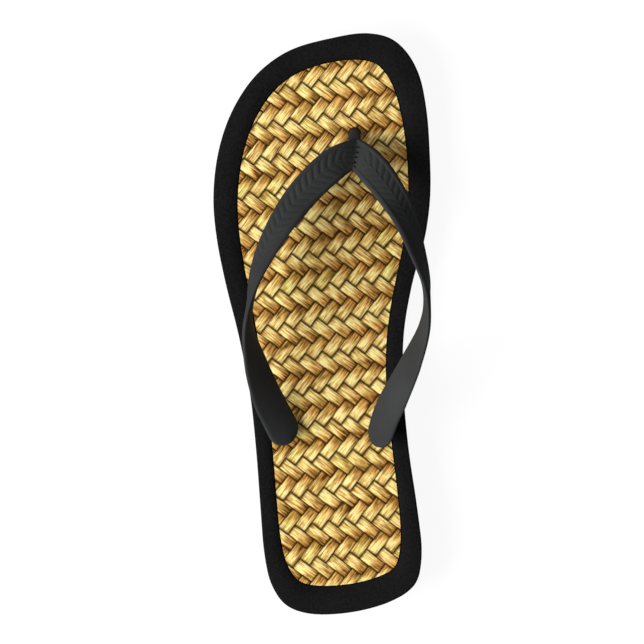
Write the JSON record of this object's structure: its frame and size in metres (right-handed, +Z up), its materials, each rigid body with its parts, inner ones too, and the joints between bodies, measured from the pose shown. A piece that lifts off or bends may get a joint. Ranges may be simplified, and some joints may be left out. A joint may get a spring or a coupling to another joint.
{
  "type": "woven flip-flop",
  "caption": "Left flip-flop with a black foam sole, a straw mat woven over and under in its footbed, and a moulded black thong strap.",
  "frame": {"origin": "on the floor, under the middle of the sole's bounding box", "axes": "+Z up, +Y from heel to toe, +X towards the big-toe (medial) side of this left shoe"},
  "size_m": [0.1048, 0.28, 0.0591],
  "materials": {
    "sole_foam": "black closed-cell foam rubber, matt",
    "top_sheet": "black foam with a fine cloth-like grain, matt",
    "straw": "golden natural straw with fine fibres, slight sheen",
    "strap_rubber": "dark charcoal moulded rubber, satin"
  },
  "bodies": {
    "root": {"sole": "sole_foam", "top_sheet": "top_sheet", "woven_mat": "straw", "strap": "strap_rubber"}
  },
  "joints": []
}
